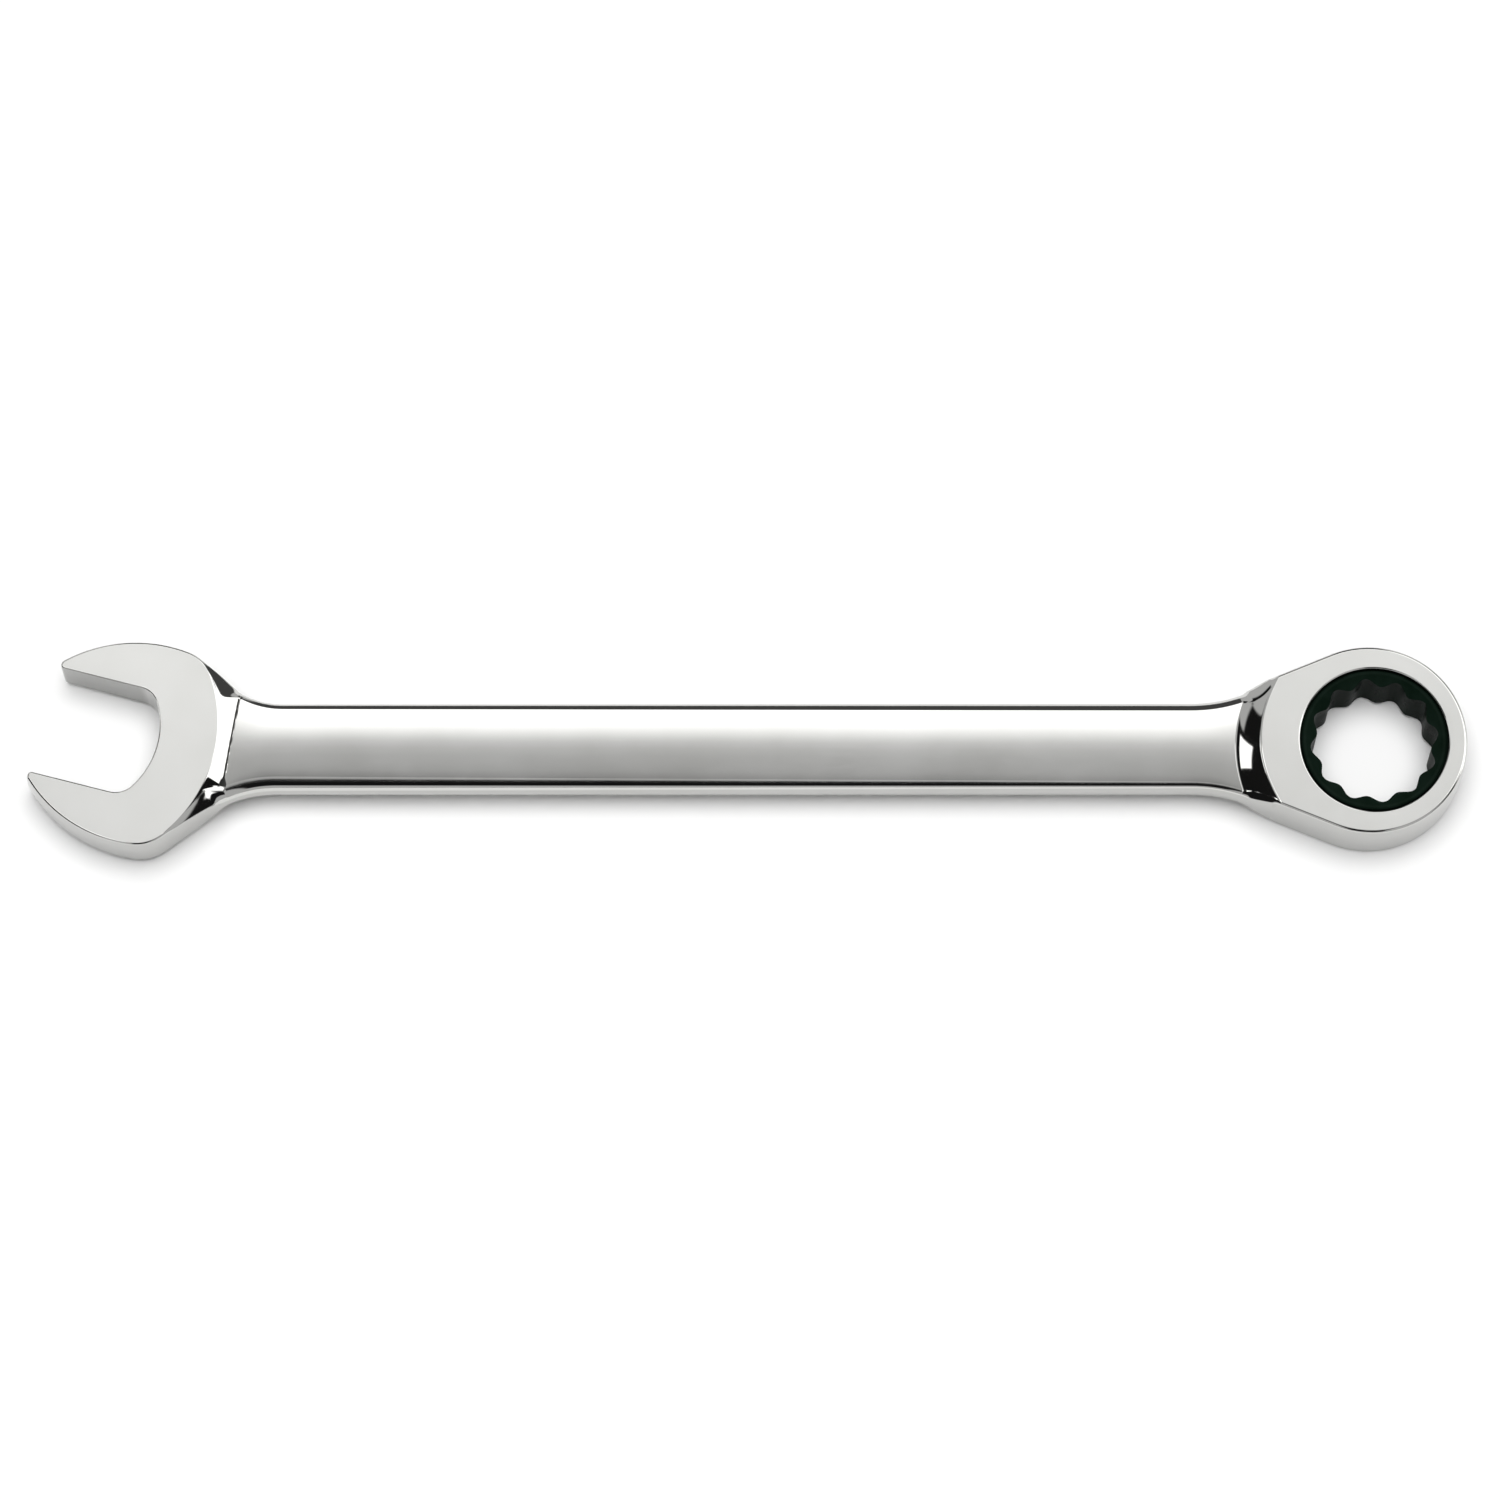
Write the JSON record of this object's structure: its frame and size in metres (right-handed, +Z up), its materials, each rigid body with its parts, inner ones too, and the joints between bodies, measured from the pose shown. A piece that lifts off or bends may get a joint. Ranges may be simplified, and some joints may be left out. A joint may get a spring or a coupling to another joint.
{
  "type": "ratcheting combination wrench",
  "caption": "Chrome combination wrench: an angled open jaw at one end and, at the other, a ratcheting ring with a lobed drive and a sprung pawl.",
  "frame": {"origin": "centre of the bounding box, at the plane of the ring head's lower face, which is what the wrench lies on", "axes": "+X along the shank from the open jaw to the ratcheting ring, +Z up through the thickness, along the ring's axis"},
  "size_m": [0.2474, 0.0368, 0.0118],
  "materials": {
    "body_chrome": "polished chrome plate",
    "gear_black_oxide": "black oxide, satin",
    "pawl_steel": "hardened steel, satin",
    "spring_wire": "drawn music wire",
    "clip_spring_steel": "dark phosphated spring steel"
  },
  "bodies": {
    "body": {"wrench_body": "body_chrome", "retaining_ring": "clip_spring_steel", "pawl_spring": "spring_wire"},
    "gear": {"ratchet_gear": "gear_black_oxide"},
    "pawl_block": {"pawl": "pawl_steel"}
  },
  "joints": [
    {"name": "gear_spin", "type": "hinge", "parent": "body", "child": "gear", "pos_m": [0.10756, 0, 0.0059], "axis": [0, 0, 1], "continuous": true},
    {"name": "pawl_slide", "type": "slide", "parent": "body", "child": "pawl_block", "axis": [-1, 0, 0], "range_m": [0, 0.0007], "stiffness_N_per_m": 900, "springref_m": -0.001, "deforming": ["pawl_spring"]}
  ]
}
